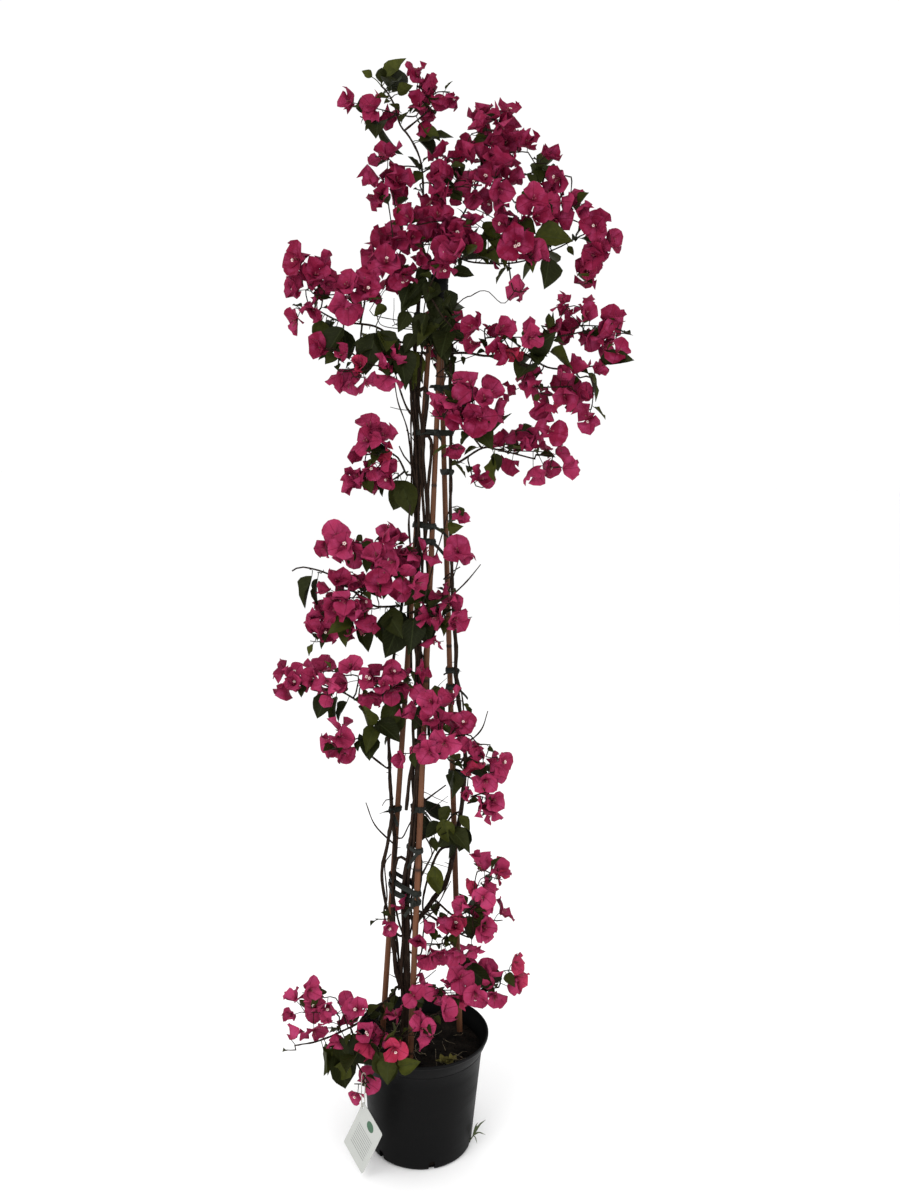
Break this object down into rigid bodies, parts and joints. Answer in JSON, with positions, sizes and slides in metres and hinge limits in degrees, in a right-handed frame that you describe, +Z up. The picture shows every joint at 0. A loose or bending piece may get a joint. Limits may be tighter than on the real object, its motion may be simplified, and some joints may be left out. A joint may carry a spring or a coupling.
{
  "type": "potted bougainvillea",
  "caption": "Tall flowering bougainvillea with pink papery bracts, climbing bamboo canes tied under a cap, in a round black nursery pot.",
  "frame": {"origin": "middle of the pot's foot, on the ground", "axes": "+Z up along the canes; the pictured front faces -Y and +X is to the viewer's right"},
  "size_m": [0.5894, 0.3205, 1.8755],
  "materials": {
    "black_plastic": "satin moulded",
    "soil": "rough crumbly compost",
    "bamboo": "dry natural bamboo",
    "bark": "rough bark",
    "tie_tape": "soft matt tape",
    "leaf": "satin leaf",
    "bract": "thin papery bract",
    "card": "matt printed card"
  },
  "bodies": {
    "root": {"pot": "black_plastic", "soil": "soil", "cane_left": "bamboo", "cane_front": "bamboo", "cane_right": "bamboo", "cane_cap": "black_plastic", "woody_stems": "bark", "tie_low": "tie_tape", "tie_front": "tie_tape", "tie_left": "tie_tape", "tie_right": "tie_tape", "tie_middle": "tie_tape", "tie_high": "tie_tape", "tag_card": "card", "tag_loop": "card", "weed_sprig": "leaf", "leafy_crown": "leaf", "leafy_upper_left": "leaf", "leafy_right_middle": "leaf", "leafy_right_lower": "leaf", "leafy_left_upper": "leaf", "leafy_left_middle": "leaf", "leafy_centre_middle": "leaf", "leafy_left_lower": "leaf", "leafy_centre": "leaf", "leafy_inner": "leaf", "leafy_lower_right": "leaf", "leafy_pot_right": "leaf", "leafy_pot_left": "leaf", "leafy_rear_upper": "leaf", "leafy_rear_lower": "leaf", "bracts_tip": "bract", "bracts_crown_left": "bract", "bracts_crown_top": "bract", "bracts_crown_front": "bract", "bracts_crown_right": "bract", "bracts_crown_low": "bract", "bracts_far_right": "bract", "bracts_upper_left": "bract", "bracts_left_hanging": "bract", "bracts_right_front": "bract", "bracts_right_far": "bract", "bracts_right_under": "bract", "bracts_right_inner": "bract", "bracts_right_lower": "bract", "bracts_left_small": "bract", "bracts_centre_small": "bract", "bracts_left_middle": "bract", "bracts_left_outer": "bract", "bracts_left_far": "bract", "bracts_left_inner": "bract", "bracts_left_low": "bract", "bracts_centre": "bract", "bracts_centre_right": "bract", "bracts_lower_right": "bract", "bracts_lower_front": "bract", "bracts_pot_right": "bract", "bracts_pot_left": "bract", "bracts_pot_front": "bract", "bracts_rear": "bract"}
  },
  "joints": []
}
